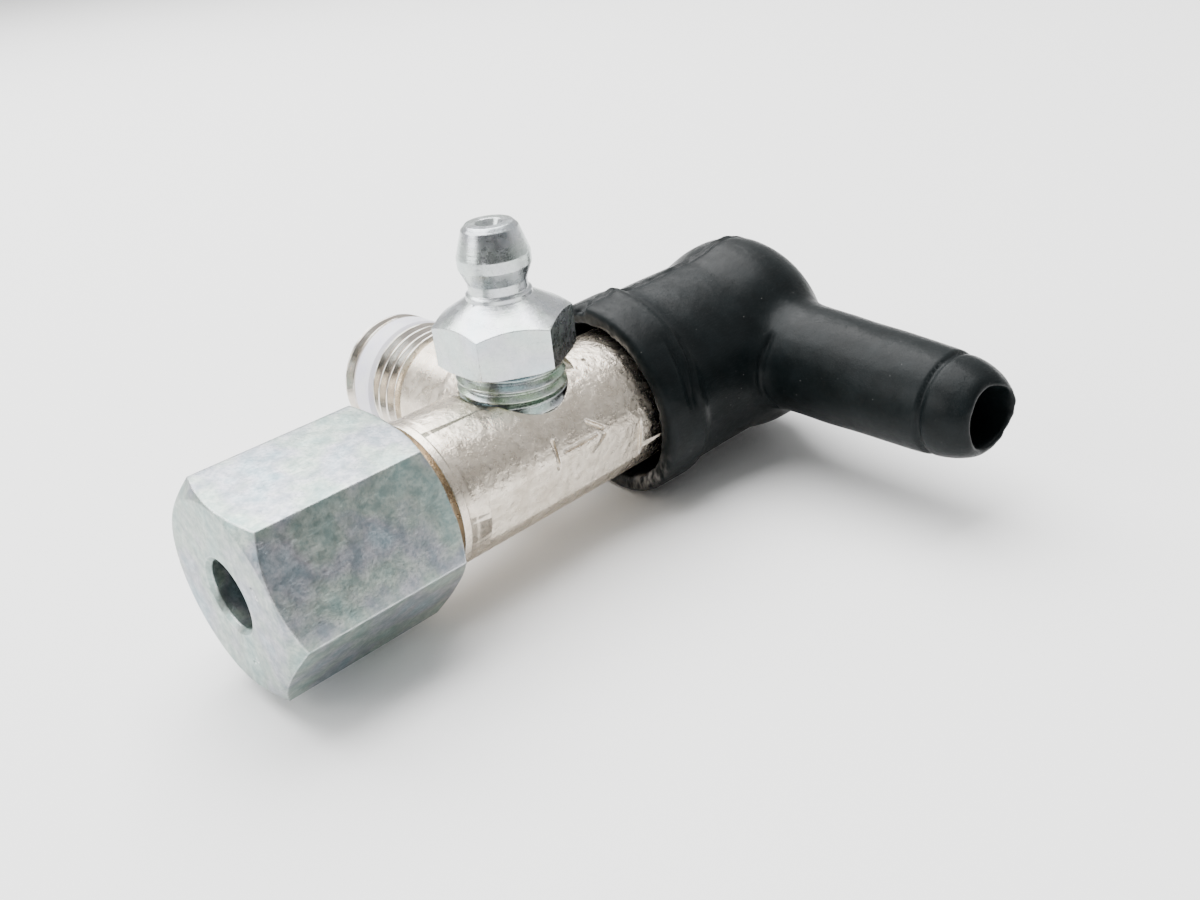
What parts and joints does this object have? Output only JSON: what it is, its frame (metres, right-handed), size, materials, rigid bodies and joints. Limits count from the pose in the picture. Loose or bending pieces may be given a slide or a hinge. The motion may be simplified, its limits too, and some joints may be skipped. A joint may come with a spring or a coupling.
{
  "type": "pressure relief valve with grease nipple",
  "caption": "Grease-line pressure relief valve: quarter-inch inlet spigot, 6 mm tube union, grease nipple and rubber elbow discharge cap.",
  "frame": {"origin": "on the inlet spigot's axis, at the shoulder where its thread begins", "axes": "+X along the barrel from the tube union to the discharge cap, +Y along the inlet spigot towards its open end, +Z along the grease nipple"},
  "size_m": [0.0681, 0.0587, 0.032],
  "materials": {
    "nickel_plated_steel": "satin nickel plate, warm grey",
    "zinc_plated_nut": "matte clear zinc plate",
    "zinc_plated_nipple": "bright clear zinc plate",
    "zinc_plated_screw": "clear zinc plate",
    "phosphated_steel": "dark phosphate",
    "white_sealing_ring": "translucent white",
    "polished_ball": "polished",
    "spring_steel": "drawn wire",
    "hardened_seat": "ground",
    "copper_washer": "soft copper",
    "black_rubber": "satin black"
  },
  "bodies": {
    "valve_body": {"valve_body": "nickel_plated_steel", "nipple_body": "zinc_plated_nipple", "nipple_spring_stop": "zinc_plated_nipple", "nipple_spring": "spring_steel", "inlet_sealing_ring": "white_sealing_ring", "seat_washer": "copper_washer", "relief_seat": "hardened_seat"},
    "cutting_ring": {"cutting_ring": "phosphated_steel"},
    "union_nut": {"union_nut": "zinc_plated_nut"},
    "nipple_ball": {"nipple_ball": "polished_ball"},
    "relief_poppet": {"relief_ball": "polished_ball", "ball_carrier": "hardened_seat"},
    "spring_plate": {"spring_plate": "hardened_seat", "relief_spring": "spring_steel"},
    "adjusting_screw": {"adjusting_screw": "zinc_plated_screw"},
    "lock_screw": {"lock_screw": "zinc_plated_screw"},
    "discharge_cap": {"discharge_cap": "black_rubber"}
  },
  "joints": [
    {"name": "nut_travel", "type": "slide", "parent": "valve_body", "child": "cutting_ring", "axis": [-1, 0, 0], "range_m": [0, 0.0075]},
    {"name": "nut_turn", "type": "hinge", "parent": "cutting_ring", "child": "union_nut", "pos_m": [-0.0254, -0.016, 0], "axis": [-1, 0, 0], "range_deg": [0, 1800.01]},
    {"name": "nipple_ball_press", "type": "slide", "parent": "valve_body", "child": "nipple_ball", "axis": [0, 0, -1], "range_m": [0, 0.0008], "stiffness_N_per_m": 400, "springref_m": -0.003, "deforming": ["nipple_spring"]},
    {"name": "relief_lift", "type": "slide", "parent": "valve_body", "child": "relief_poppet", "axis": [1, 0, 0], "range_m": [0, 0.001], "stiffness_N_per_m": 20000, "springref_m": -0.0055, "deforming": ["relief_spring"]},
    {"name": "plate_travel", "type": "slide", "parent": "valve_body", "child": "spring_plate", "axis": [1, 0, 0], "range_m": [-0.00075, 0]},
    {"name": "adjusting_turn", "type": "hinge", "parent": "spring_plate", "child": "adjusting_screw", "pos_m": [0.0166, -0.016, 0], "axis": [1, 0, 0], "range_deg": [-270.01, 0]},
    {"name": "lock_turn", "type": "hinge", "parent": "valve_body", "child": "lock_screw", "pos_m": [0.0196, -0.016, 0], "axis": [1, 0, 0], "range_deg": [0, 720]},
    {"name": "cap_swivel", "type": "hinge", "parent": "valve_body", "child": "discharge_cap", "pos_m": [0.0166, -0.016, 0], "axis": [1, 0, 0], "continuous": true}
  ],
  "couplings": [
    {"joint": "nut_turn", "follows": "nut_travel", "rad_per_m": 4188.8},
    {"joint": "adjusting_turn", "follows": "plate_travel", "rad_per_m": 6283.2}
  ]
}
